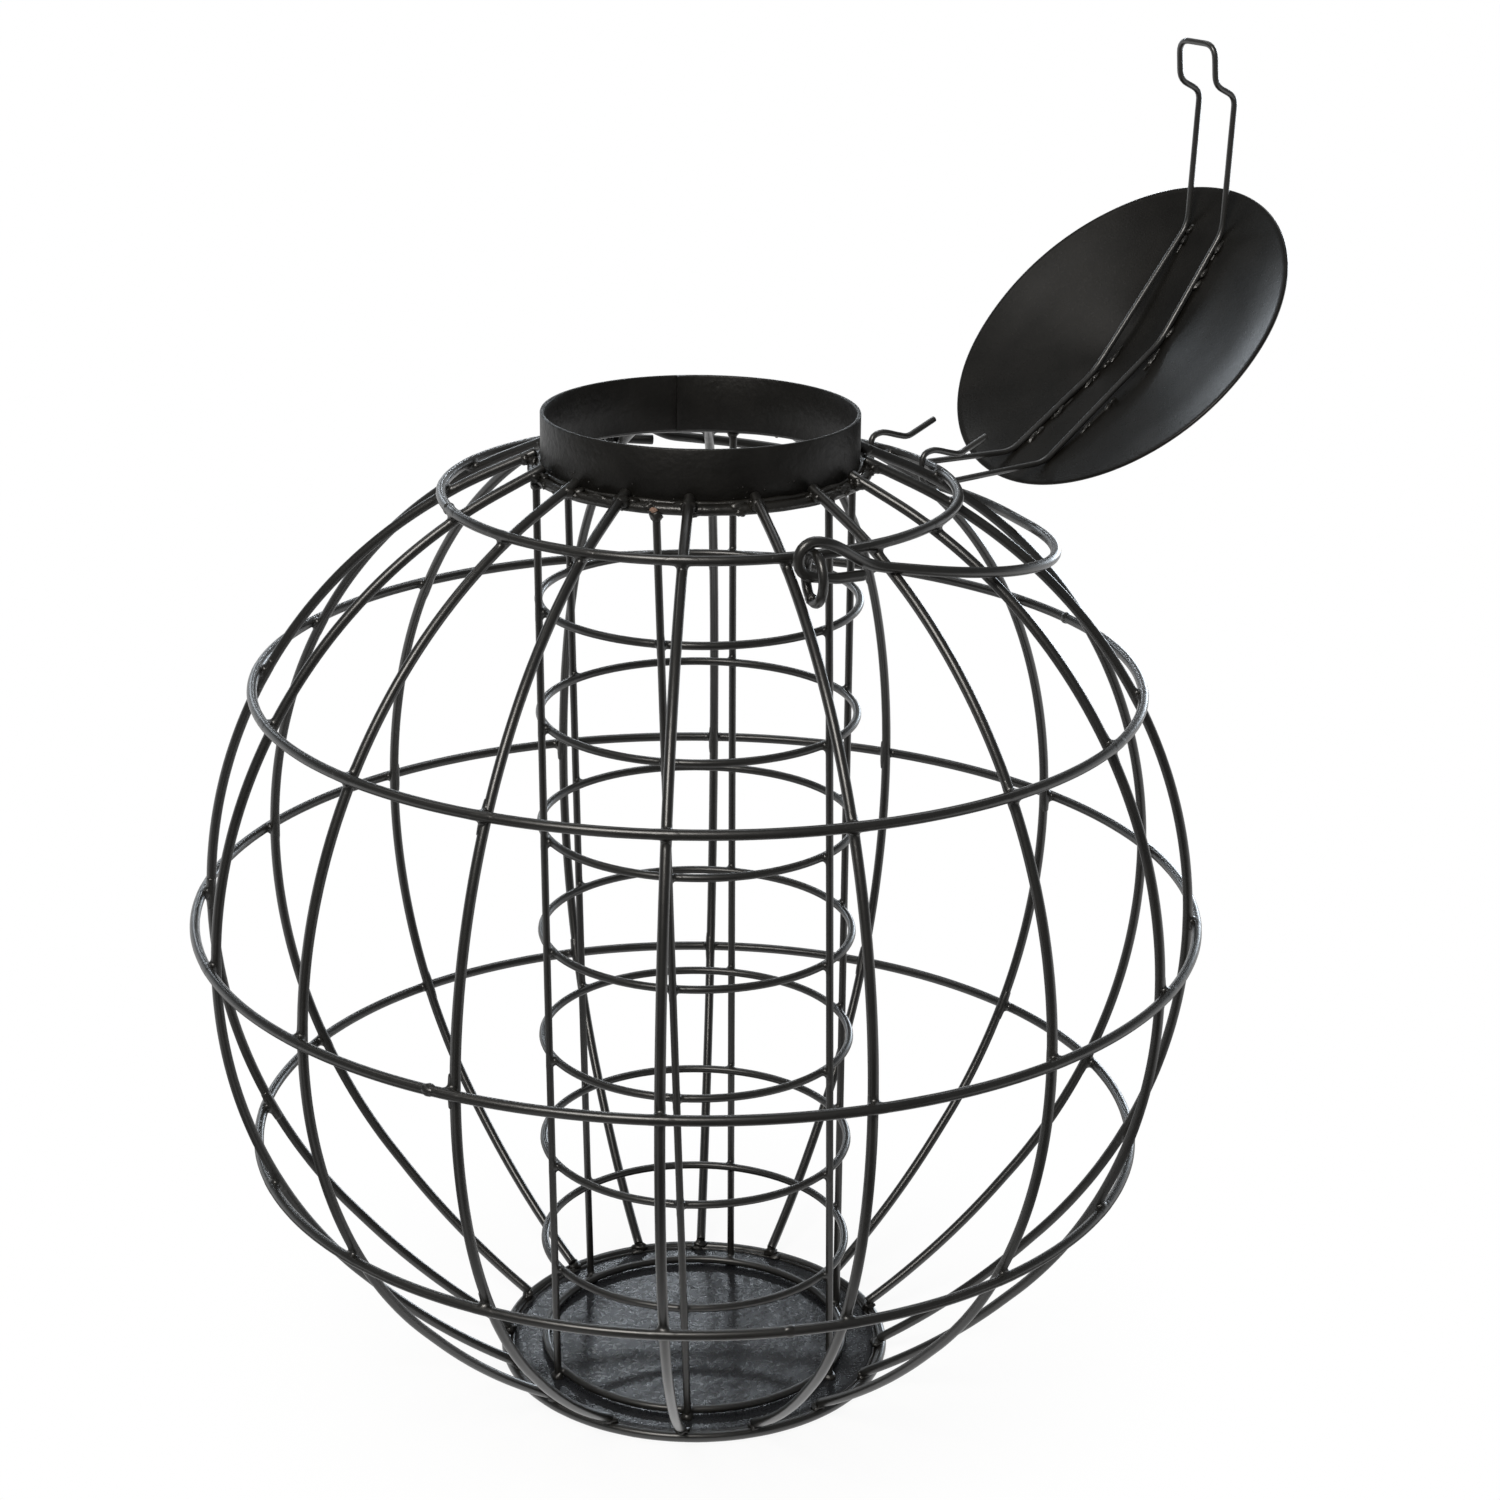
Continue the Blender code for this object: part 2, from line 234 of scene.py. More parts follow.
base_coat = powder_coat("base_coat", (0.0080, 0.0087, 0.0100), (0.0160, 0.0171, 0.0194),
                        rough=0.27, specular=0.38, grain_scale=1000.0, grain=0.00004,
                        lump_scale=280.0, lump=0.00018)
lid_coat = powder_coat("lid_coat", (0.0050, 0.0046, 0.0038), (0.0094, 0.0087, 0.0075),
                       rough=0.29, specular=0.27, grain_scale=1900.0, grain=0.000016,
                       lump_scale=90.0, lump=0.00006)
lid_wire_coat = powder_coat("lid_wire_coat", (0.0120, 0.0117, 0.0108), (0.0200, 0.0195, 0.0182),
                            rough=0.31, specular=0.95, **smooth_skin)
bare_metal = powder_coat("bare_metal", (0.1500, 0.0850, 0.0600), (0.3000, 0.1900, 0.1400),
                         rough=0.50, specular=0.42, grain_scale=2600.0, grain=0.00008,
                         lump_scale=900.0, lump=0.00015)


# Mesh tools. A shape is a list of vertices and a list of faces.

x_way = Vector((1.0, 0.0, 0.0))
y_way = Vector((0.0, 1.0, 0.0))
upward = Vector((0.0, 0.0, 1.0))


def add_object(name, data):
    thing = bpy.data.objects.new(name, data)
    bpy.context.scene.collection.objects.link(thing)
    return thing


def new_mesh(name, shape):
    vertices, faces = shape
    mesh = bpy.data.meshes.new(name)
    mesh.from_pydata([tuple(vertex) for vertex in vertices], [], faces)
    return mesh


def add_piece(name, shape, material, body):
    mesh = new_mesh(name, shape)
    mesh.materials.append(material)
    mesh.shade_smooth()
    mesh.update()
    piece = add_object(name, mesh)
    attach(piece, body)
    return piece


def polar(radius, azimuth, height):
    turn = math.radians(azimuth)
    return Vector((radius * math.cos(turn), radius * math.sin(turn), height))


def ways_at(azimuth):
    """The directions out from the axis and round it."""
    return polar(1.0, azimuth, 0.0), polar(1.0, azimuth + 90, 0.0)


def circle(radius, height, count=64):
    return [polar(radius, 360 * step / count, height) for step in range(count)]


def smoothed(points, closed=False, per_leg=12):
    """Dense points along a smooth curve through the given ones."""
    count = len(points)
    dense = []
    for index in range(count if closed else count - 1):
        if closed:
            before, start, end, after = (points[(index + shift) % count] for shift in (-1, 0, 1, 2))
        else:
            before, after = points[max(index - 1, 0)], points[min(index + 2, count - 1)]
            start, end = points[index], points[index + 1]
        for part in range(per_leg):
            share = part / per_leg
            pull = (end - before) * (share - 2 * share ** 2 + share ** 3) / 2
            push = (after - start) * (share ** 3 - share ** 2) / 2
            dense.append(start + (end - start) * (3 * share ** 2 - 2 * share ** 3) + pull + push)
    return dense if closed else dense + [points[-1]]


def resampled(points, step, closed=False):
    """Points at even steps along the straight legs between the given ones."""
    path = points + [points[0]] if closed else points
    lengths = [0.0]
    for start, end in zip(path, path[1:]):
        lengths.append(lengths[-1] + (end - start).length)
    pieces = max(3, round(lengths[-1] / step))
    even = []
    index = 0
    for part in range(pieces + (0 if closed else 1)):
        target = lengths[-1] * part / pieces
        while index < len(path) - 2 and lengths[index + 1] < target:
            index += 1
        leg = lengths[index + 1] - lengths[index]
        even.append(path[index].lerp(path[index + 1], (target - lengths[index]) / leg if leg else 0.0))
    return even


def corner_point(before, corner, after, share):
    """Point of the rounded corner between two ends, from 0 at the first to 1 at the second."""
    return before.lerp(corner, share).lerp(corner.lerp(after, share), share)


def rounded(corners, cuts, steps=10):
    """The line through the corners, each cut back by its own distance and rounded."""
    points = [corners[0]]
    for before, corner, after, cut in zip(corners, corners[1:], corners[2:], cuts):
        start = corner + (before - corner).normalized() * cut
        end = corner + (after - corner).normalized() * cut
        points += [corner_point(start, corner, end, step / steps) for step in range(steps + 1)]
    return points + [corners[-1]]


def tube_faces(rows, sides, closed):
    faces = []
    for row in range(rows if closed else rows - 1):
        following = (row + 1) % rows
        for side in range(sides):
            beside = (side + 1) % sides
            faces.append((row * sides + side, row * sides + beside,
                          following * sides + beside, following * sides + side))
    return faces


def tip_rows(row, inward):
    """The rows that round off a cut end, from its face inwards."""
    point, way, other, row_radius = row
    return [(point + inward * depth, way, other, row_radius * share) for depth, share in tip_shares]


def tube(points, radius, closed=False, sides=wire_sides, waver=coat_waver):
    """Shape of a round wire. Its coat varies in thickness, and cut ends are softened."""
    count = len(points)
    tangents = []
    for index in range(count):
        if closed:
            tangent = points[(index + 1) % count] - points[index - 1]
        else:
            tangent = points[min(index + 1, count - 1)] - points[max(index - 1, 0)]
        tangents.append(tangent.normalized())
    side_way = tangents[0].orthogonal().normalized()
    ways = []
    for tangent in tangents:
        side_way = (side_way - tangent * side_way.dot(tangent)).normalized()
        ways.append(side_way.copy())
    twist = 0.0
    if closed:
        last = (ways[-1] - tangents[0] * ways[-1].dot(tangents[0])).normalized()
        twist = math.atan2(last.cross(ways[0]).dot(tangents[0]), last.dot(ways[0]))
    rows = []
    for index, (point, tangent, way) in enumerate(zip(points, tangents, ways)):
        turned = Matrix.Rotation(twist * index / count, 3, tangent) @ way
        row_radius = radius * (1 + waver * noise.noise(point * waver_scale))
        rows.append((point, turned, tangent.cross(turned), row_radius))
    if not closed:
        lip = radius * tip_length
        rows[:1] = tip_rows(rows[0], tangents[0] * lip)
        rows[-1:] = reversed(tip_rows(rows[-1], -tangents[-1] * lip))
    vertices = []
    for point, turned, other, row_radius in rows:
        for side in range(sides):
            angle = math.tau * side / sides
            vertices.append(point + (turned * math.cos(angle) + other * math.sin(angle)) * row_radius)
    faces = tube_faces(len(rows), sides, closed)
    if not closed:
        faces.append(tuple(reversed(range(sides))))
        faces.append(tuple(range((len(rows) - 1) * sides, len(rows) * sides)))
    return vertices, faces


def wire(node, points, diameter, material, closed=True, name=None,
         step=wire_step, waver=coat_waver):
    """A wire of the cage through the points, which stands for a node of the frame."""
    even = resampled(smoothed(points, closed), step, closed)
    piece = add_piece(name or node + "_wire", tube(even, diameter / 2, closed, waver=waver), material,
                      "cage")
    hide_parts(node)


def blob(centre, along, across, up, sizes, seed, roughness):
    """A lump of weld metal: an uneven ball with three half sizes along three directions."""
    rows, columns = 9, 14
    swell_scale = 1.6
    start = Vector((seed * 7.3, seed * 3.1, seed))
    vertices = []
    for row in range(rows + 1):
        lift = math.pi * row / rows
        for column in range(columns):
            turn = math.tau * column / columns
            unit = Vector((math.sin(lift) * math.cos(turn), math.sin(lift) * math.sin(turn),
                           math.cos(lift)))
            swell = 1 + roughness * noise.noise(unit * swell_scale + start)
            vertices.append(centre + (along * unit.x * sizes[0] + across * unit.y * sizes[1]
                                      + up * unit.z * sizes[2]) * swell)
    faces = []
    for row in range(rows):
        for column in range(columns):
            beside = (column + 1) % columns
            faces.append((row * columns + column, (row + 1) * columns + column,
                          (row + 1) * columns + beside, row * columns + beside))
    return vertices, faces


def lump(centre, azimuth, sizes, seed, roughness):
    """A blob whose half sizes are out from the axis, round it and up."""
    return blob(centre, *ways_at(azimuth), upward, sizes, seed, roughness)


def joined(parts):
    vertices, faces = [], []
    for part_vertices, part_faces in parts:
        start = len(vertices)
        vertices += part_vertices
        faces += [tuple(start + index for index in face) for face in part_faces]
    return vertices, faces


def kept_above(shape, level):
    vertices, faces = shape
    for vertex in vertices:
        vertex.z = max(vertex.z, level)
    return vertices, faces


def disc_faces(levels, steps):
    """Faces of a closed disc: a middle point, a ring of points on each level, and a middle point."""
    faces = []
    last_ring = 1 + (levels - 1) * steps
    for step in range(steps):
        beside = (step + 1) % steps
        faces.append((0, 1 + step, 1 + beside))
        for level in range(levels - 1):
            start, below = 1 + level * steps, 1 + (level + 1) * steps
            faces.append((start + step, below + step, below + beside, start + beside))
        faces.append((last_ring + beside, last_ring + step, last_ring + steps))
    return faces


# The weld where two wires cross

def weld_template(under_radius, over_radius, spacing, seed):
    """Two short wires that cross, melted together: one along X, one along Y above it."""
    sides, steps = 18, 12
    thicker = max(under_radius, over_radius)
    reach = weld_reach * thicker
    parts = []
    for axis, radius, height in ((x_way, under_radius, 0.0), (y_way, over_radius, spacing)):
        points = [axis * reach * (2 * step / steps - 1) + upward * height for step in range(steps + 1)]
        vertices, faces = tube(points, radius, sides=sides, waver=0.0)
        for vertex in vertices:
            along = vertex.dot(axis)
            outer_share = max(0.0, abs(along) / reach - 0.5)
            core = axis * along + upward * height
            away = (vertex - core).normalized()
            vertex[:] = core + away * radius * (weld_skin - weld_skin_loss * outer_share)
        parts.append((vertices, faces))
    fat = weld_core * thicker
    parts.append(blob(upward * spacing / 2, x_way, y_way, upward,
                      (fat, fat, spacing * weld_core_height), seed, roughness=0.25))
    mesh = new_mesh("weld_template", joined(parts))
    template = add_object("weld_template", mesh)
    remesh = template.modifiers.new("melt", "REMESH")
    remesh.mode = "VOXEL"
    remesh.voxel_size = melt_voxel
    relax = template.modifiers.new("relax", "SMOOTH")
    relax.factor = 0.5
    relax.iterations = 7
    solid = bpy.data.meshes.new_from_object(template.evaluated_get(bpy.context.evaluated_depsgraph_get()))
    result = ([vertex.co.copy() for vertex in solid.vertices],
              [tuple(polygon.vertices) for polygon in solid.polygons])
    bpy.data.objects.remove(template)
    bpy.data.meshes.remove(mesh)
    bpy.data.meshes.remove(solid)
    return result


def placed(template, origin, along, across, up):
    vertices, faces = template
    return ([origin + along * vertex.x + across * vertex.y + up * vertex.z for vertex in vertices], faces)


# The cage

def ring_of(node):
    """Radius and height of the centre line of a ring of the frame."""
    low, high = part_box(node)
    thickness = high[2] - low[2]
    return (high[0] - low[0] - thickness) / 2, (low[2] + high[2]) / 2


def on_ball(angle, outset=0.0):
    turn = math.radians(angle)
    normal = Vector((math.cos(turn) / ball_radius, math.sin(turn) / ball_rise)).normalized()
    point = Vector((ball_radius * math.cos(turn), belly_height + ball_rise * math.sin(turn)))
    return point + normal * outset


collar_ring_radius, collar_ring_height = ring_of("collar_ring")
base_ring_radius, base_ring_height = ring_of("base_rim_ring")
tube_ring_radius = ring_of("tube_ring_1")[0]


def beside_wire(radius, height, angle, spacing):
    """Radius and height of a point at an angle and a distance from a ring's centre line."""
    turn = math.radians(angle)
    return Vector((radius, height)) + Vector((math.cos(turn), math.sin(turn))) * spacing


def rib_profile():
    """Radius and height of a bar's centre line, from its lap on the collar to its heel on the base."""
    ball_steps, foot_steps = 30, 8
    tip = beside_wire(collar_ring_radius, collar_ring_height, rib_tip_angle,
                      (collar_ring_wire + rib_wire) / 2 - weld_sink / 2)
    heel = beside_wire(base_ring_radius, base_ring_height, rib_heel_angle,
                       (base_ring_wire + rib_wire) / 2 - weld_sink / 2)
    lap = Vector((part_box("collar")[1][0] + rib_wire * tip_stand_off, collar_ring_height + tip_lap))
    points = [lap, tip]
    for step in range(ball_steps + 1):
        points.append(on_ball(rib_top_angle + (rib_foot_angle - rib_top_angle) * step / ball_steps))
    foot = points[-1]
    down = (foot - points[-2]).normalized()
    middle = foot + down * (heel - foot).length / 2
    points += [corner_point(foot, middle, heel, step / foot_steps) for step in range(1, foot_steps + 1)]
    return points


def make_ribs():
    profile = rib_profile()
    for number, azimuth in enumerate(rib_azimuths, 1):
        node = "ball_rib_%02d" % number
        lean = dice.uniform(-rib_lean, rib_lean)
        points = []
        for step, (radius, height) in enumerate(profile):
            bow = math.sin(math.pi * step / (len(profile) - 1))
            points.append(polar(radius, azimuth + lean * bow, height))
        wire(node, points, rib_wire, cage_coat, closed=False)


def make_ball_rings():
    butt_lump = (0.0020, 0.00142, 0.00146)
    spacing = (rib_wire + ball_ring_wire) / 2 - weld_sink
    templates = [weld_template(rib_wire / 2, ball_ring_wire / 2, spacing, seed) for seed in (1, 2, 3)]
    for number, (angle, butt) in enumerate(zip(ball_ring_angles, butt_azimuths), 1):
        node = "ball_ring_%d" % number
        radius, height = on_ball(angle, spacing)
        wire(node, circle(radius, height), ball_ring_wire, cage_coat)
        turn = math.radians(angle)
        slope = Vector((-ball_radius * math.sin(turn), ball_rise * math.cos(turn))).normalized()
        rib_radius, rib_height = on_ball(angle)
        parts = []
        for azimuth in rib_azimuths:
            out, around = ways_at(azimuth)
            along = out * slope.x + upward * slope.y
            flip = dice.choice((-1, 1))
            up = along.cross(around)
            if up.dot(out) < 0:
                along, up = -along, -up
            parts.append(placed(dice.choice(templates), polar(rib_radius, azimuth, rib_height),
                                along * flip, around * flip, up))
        out, around = ways_at(butt)
        parts.append(blob(polar(radius, butt, height), around, out, upward, butt_lump, butt,
                          roughness=0.22))
        add_piece(node + "_welds", joined(parts), cage_coat, "cage")


def make_tube():
    upright_steps = 12
    foot_lump, top_lump, top_lump_drop = 0.0016, 0.0014, 0.0002
    lump_shape = (1.0, 1.05, 0.95)
    spacing = (tube_ring_wire + upright_wire) / 2 - weld_sink / 2
    upright_radius = tube_ring_radius + spacing
    templates = [weld_template(upright_wire / 2, tube_ring_wire / 2, spacing, seed) for seed in (4, 5)]
    low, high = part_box("tube_upright_1")
    foot, top = low[2] - weld_sink, high[2] + weld_sink
    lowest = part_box("base_plate")[1][2] - weld_sink
    for number, (foot_azimuth, top_azimuth) in enumerate(upright_azimuths, 1):
        node = "tube_upright_%d" % number
        points = []
        for step in range(upright_steps + 1):
            share = step / upright_steps
            points.append(polar(upright_radius, foot_azimuth + (top_azimuth - foot_azimuth) * share,
                                foot + (top - foot) * share))
        wire(node, points, upright_wire, tube_coat, closed=False)
    for number in range(1, 9):
        node = "tube_ring_%d" % number
        radius, height = ring_of(node)
        wire(node, circle(radius, height), tube_ring_wire, tube_coat)
        parts = []
        for foot_azimuth, top_azimuth in upright_azimuths:
            azimuth = foot_azimuth + (top_azimuth - foot_azimuth) * (height - foot) / (top - foot)
            inward = -polar(1.0, azimuth, 0.0)
            parts.append(placed(dice.choice(templates), polar(upright_radius, azimuth, height),
                                upward, inward.cross(upward), inward))
        add_piece(node + "_welds", kept_above(joined(parts), lowest), tube_coat, "cage")
    parts = []
    for foot_azimuth, top_azimuth in upright_azimuths:
        for azimuth, height, size in ((foot_azimuth, foot, foot_lump),
                                      (top_azimuth, top - top_lump_drop, top_lump)):
            parts.append(lump(polar(upright_radius, azimuth, height), azimuth,
                              [size * share for share in lump_shape], azimuth, roughness=0.35))
    add_piece("tube_end_welds", kept_above(joined(parts), lowest), weld_coat, "cage")
    make_bare_spot(upright_radius, top)


def make_bare_spot(upright_radius, top):
    """A copper-coloured lump that the coat missed, over the top end of the upright in front."""
    azimuth = upright_azimuths[4][1] - 0.6
    outset, lift = 0.0011, 0.0014
    half_sizes = (0.0005, 0.0009, 0.00045)
    shape = lump(polar(upright_radius + outset, azimuth, top + lift), azimuth, half_sizes, 3,
                 roughness=0.7)
    add_piece("tube_bare_weld", shape, bare_metal, "cage")


def make_collar():
    """The rolled band, whose ends lap on its inner side, and the wire ring round its foot."""
    even_steps = 160
    seam_gap = 0.03
    wave_scale, wave_rise = 1.4, 40
    low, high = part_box("collar")
    outer = (high[0] - low[0]) / 2
    inner = outer - collar_wall
    foot, top = low[2], high[2]
    middle = (foot + top) / 2
    lip, lip_turn = collar_lip, collar_lip * 0.3
    profile = [(outer, foot + lip), (outer, middle), (outer, top - lip),
               (outer - lip_turn, top - lip_turn), (outer - lip, top), (inner + lip, top),
               (inner + lip_turn, top - lip_turn), (inner, top - lip), (inner, middle),
               (inner, foot + lip), (inner + lip, foot), (outer - lip, foot)]
    azimuths = [360 * step / even_steps for step in range(even_steps)]
    azimuths = sorted(azimuths + [seam_azimuth - seam_gap, seam_azimuth + seam_gap])
    vertices, faces = [], []
    for azimuth in azimuths:
        lap = seam_lap * math.exp(-((seam_azimuth - azimuth) % 360) / seam_fade)
        for radius, height in profile:
            wave = collar_wave * noise.noise(polar(wave_scale, azimuth, height * wave_rise))
            inside = lap if radius < outer - collar_wall / 2 else 0.0
            vertices.append(polar(radius + wave - inside, azimuth, height))
    steps, count = len(azimuths), len(profile)
    for step in range(steps):
        following = (step + 1) % steps
        for index in range(count):
            beside = (index + 1) % count
            faces.append((step * count + index, following * count + index,
                          following * count + beside, step * count + beside))
    piece = add_piece("collar_band", (vertices, faces), collar_coat, "cage")
    piece.data.set_sharp_from_angle(angle=sharp_edge)
    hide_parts("collar")
    wire("collar_ring", circle(collar_ring_radius, collar_ring_height), collar_ring_wire, weld_coat,
         step=collar_ring_step, waver=0.06)
    make_collar_welds(outer, foot)


def make_collar_welds(outer, foot):
    """The lumpy bead round the collar's foot, a weld at each bar's tip, and spatter above."""
    bead_outset, bead_lift, bead_radius = 0.0002, 0.0011, 0.00070
    tip_lump, tip_outset, tip_drop = (0.0017, 0.0018, 0.0015), 0.0003, 0.0006
    side_lump, side_inset, side_drop, side_shift = (0.0013, 0.0021, 0.0011), 0.0016, 0.0008, 0.0016
    ring_lumps, ring_lump_out, ring_lump_up, ring_lump_lift = 34, 0.0009, 0.0008, 0.36
    specks = 40
    parts = [tube(circle(outer + bead_outset, collar_ring_height + bead_lift, 150), bead_radius,
                  closed=True, sides=10, waver=0.60)]
    reach = (collar_ring_wire + rib_wire) / 2 - weld_sink / 2
    tip_radius, tip_height = beside_wire(collar_ring_radius, collar_ring_height, rib_tip_angle, reach)
    for azimuth in rib_azimuths:
        tip = polar(tip_radius, azimuth, tip_height)
        out, around = ways_at(azimuth)
        parts.append(lump(tip + out * tip_outset - upward * tip_drop, azimuth, tip_lump, azimuth,
                          roughness=0.45))
        side = dice.uniform(-1.0, 1.0) * side_shift
        parts.append(lump(tip - out * side_inset + around * side - upward * side_drop, azimuth,
                          side_lump, azimuth + 1, roughness=0.6))
    for number in range(ring_lumps):
        azimuth = dice.uniform(0, 360)
        radius, height = beside_wire(collar_ring_radius, collar_ring_height, dice.uniform(-35, 95),
                                     collar_ring_wire * ring_lump_lift)
        length = dice.uniform(0.0010, 0.0028)
        parts.append(lump(polar(radius, azimuth, height), azimuth,
                          (ring_lump_out, length, ring_lump_up), number, roughness=0.7))
    for number in range(specks):
        azimuth = dice.uniform(0, 360)
        height = foot + dice.uniform(0.0018, 0.0050)
        size = dice.uniform(0.00012, 0.00026)
        parts.append(lump(polar(outer, azimuth, height), azimuth, [size] * 3, number, roughness=0.2))
    add_piece("collar_welds", joined(parts), weld_coat, "cage")


def make_base():
    rings, steps = 26, 128
    dent_scale = 70.0
    low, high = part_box("base_plate")
    radius = (high[0] - low[0]) / 2
    top = high[2]
    edge, edge_turn = base_edge, base_edge * 0.3
    levels = [(radius * ring / rings, top) for ring in range(1, rings)]
    levels += [(radius - edge, top), (radius - edge_turn, top - edge_turn), (radius, top - edge),
               (radius, edge), (radius - edge, 0.0)]
    vertices = [upward * top]
    for level, (level_radius, height) in enumerate(levels):
        for step in range(steps):
            point = polar(level_radius, 360 * step / steps, height)
            if level < rings - 1:
                point.z += base_dent * noise.noise(point * dent_scale) * (1 - level_radius / radius)
            vertices.append(point)
    vertices.append(Vector((0, 0, 0)))
    piece = add_piece("base_sheet", (vertices, disc_faces(len(levels), steps)), base_coat, "cage")
    piece.data.set_sharp_from_angle(angle=sharp_edge)
    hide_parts("base_plate")
    wire("base_rim_ring", circle(base_ring_radius, base_ring_height), base_ring_wire, cage_coat,
         name="base_rim_wire", waver=0.03)
    make_base_welds(radius, top)


def make_base_welds(radius, top):
    """The bead between the sheet and its rim wire, a weld at each bar's heel, and drips inside."""
    bead_outset, bead_drop, bead_radius = 0.0002, 0.0002, 0.00055
    heel_lump, heel_drop, heel_shift = (0.0015, 0.0017, 0.0011), 0.0011, 0.0006
    drip_lump, drip_drop, drip_inset, drip_shift = (0.0012, 0.0017, 0.0008), 0.0019, 0.0009, 0.002
    drip_share = 0.5
    parts = [tube(circle(radius + bead_outset, top - bead_drop, 165), bead_radius,
                  closed=True, sides=8, waver=0.6)]
    heel_radius, heel_height = beside_wire(base_ring_radius, base_ring_height, rib_heel_angle,
                                           (base_ring_wire + rib_wire) / 2)
    for azimuth in rib_azimuths:
        heel = polar(heel_radius, azimuth, heel_height)
        out, around = ways_at(azimuth)
        shift = around * dice.uniform(-heel_shift, heel_shift)
        parts.append(lump(heel - upward * heel_drop + shift, azimuth, heel_lump, azimuth,
                          roughness=0.75))
        if dice.random() < drip_share:
            shift = around * dice.uniform(-drip_shift, drip_shift)
            parts.append(lump(heel - upward * drip_drop - out * drip_inset + shift, azimuth,
                              drip_lump, azimuth + 2, roughness=0.6))
    add_piece("base_welds", joined(parts), weld_coat, "cage")


def eye_place(node):
    """Distance of an eye's middle from the axis, and its height."""
    low, high = (Vector(corner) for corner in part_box(node))
    middle = (low + high) / 2
    return math.hypot(middle.x, middle.y), middle.z


def make_eyes():
    """Two upright ovals of wire on the top ball ring, which the handle's loops hang in."""
    eye_steps = 40
    seat_lump, seat_outset = (0.0022, 0.0013, 0.0019), 0.55
    seam_lump, seam_turn = (0.0013, 0.0019, 0.0014), math.radians(250)
    ring_radius, ring_height = ring_of("ball_ring_1")
    for node, azimuth in (("handle_eye_front", handle_azimuth), ("handle_eye_back", handle_azimuth - 180)):
        reach, height = eye_place(node)

        def on_eye(turn):
            return polar(reach + eye_half_width * math.cos(turn), azimuth,
                         height + eye_half_height * math.sin(turn))

        wire(node, [on_eye(math.tau * step / eye_steps) for step in range(eye_steps)], eye_wire,
             cage_coat, step=loop_step, waver=0.03)
        out, around = ways_at(azimuth)
        seat = polar(ring_radius + ball_ring_wire * seat_outset, azimuth, ring_height)
        parts = [blob(seat, around, out, upward, seat_lump, azimuth, roughness=0.4),
                 blob(on_eye(seam_turn), around, out, upward, seam_lump, azimuth + 5, roughness=0.35)]
        add_piece(node + "_weld", joined(parts), weld_coat, "cage")


def make_handle():
    """A bail with a full loop at each end, whose cut tail runs on under the bow."""
    loop_steps, neck_steps, bow_steps = 24, 16, 40
    shoulder_share, waist_share = 0.36, 0.62
    place = Matrix.Translation(joints["handle_hinge"]["pos_m"])
    place @= Matrix.Rotation(math.radians(handle_azimuth - 270), 4, "Z")
    place @= Matrix.Rotation(math.radians(handle_fall), 4, "Y")
    loop_side = eye_place("handle_eye_front")[0]
    side = [Vector((handle_tail, loop_side - handle_wire_cad, -handle_loop_radius * 0.82)),
            Vector((handle_tail / 2, loop_side - handle_wire_cad / 4, -handle_loop_radius))]
    for step in range(loop_steps + 1):
        turn = math.radians(-90 - 180 * step / loop_steps)
        side.append(Vector((handle_loop_radius * math.cos(turn), loop_side,
                            handle_loop_radius * math.sin(turn))))
    loop_top = side[-1]
    shoulder = Vector((handle_neck * shoulder_share, loop_side, handle_loop_radius))
    waist = Vector((handle_neck * waist_share, handle_half_width, -handle_drop))
    neck_end = Vector((handle_neck, handle_half_width, -handle_drop))
    for step in range(1, neck_steps + 1):
        share = step / neck_steps
        first, second, third = (start.lerp(end, share) for start, end in
                                ((loop_top, shoulder), (shoulder, waist), (waist, neck_end)))
        side.append(corner_point(first, second, third, share))
    bow_x = handle_length - handle_bow_radius
    bow_y = handle_half_width - handle_bow_radius
    for step in range(bow_steps + 1):
        turn = math.radians(90 - 90 * step / bow_steps)
        side.append(Vector((bow_x + handle_bow_radius * math.cos(turn),
                            bow_y + handle_bow_radius * math.sin(turn), -handle_drop)))
    other_side = [Vector((point.x, -point.y, point.z)) for point in reversed(side)]
    path = resampled([place @ point for point in side + other_side], loop_step)
    piece = add_piece("handle_bail_wire", tube(path, handle_wire / 2), cage_coat, "handle")
    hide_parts("handle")


# The lid, in its own frame: X towards its hinge, Z up when level, origin at the rim's centre

def lid_sheet_height(x, y):
    """Middle of the lid's sheet over the rim's level: a shallow cone with a rounded tip."""
    away = math.hypot(x, y)
    tip = lid_crown_radius
    if away < tip:
        return lid_peak - lid_slope * (away ** 2 + tip ** 2) / (2 * tip)
    past = max(0.0, (away - lid_curl_start) / (lid_radius - lid_curl_start))
    return lid_peak - lid_slope * away - lid_curl * past ** 2


def lid_wire_height(x, y):
    drop = (lid_thickness / 2 + lid_wire_size / 2 - weld_sink / 3) * math.hypot(1.0, lid_slope)
    return lid_peak - lid_slope * math.hypot(x, y) - drop


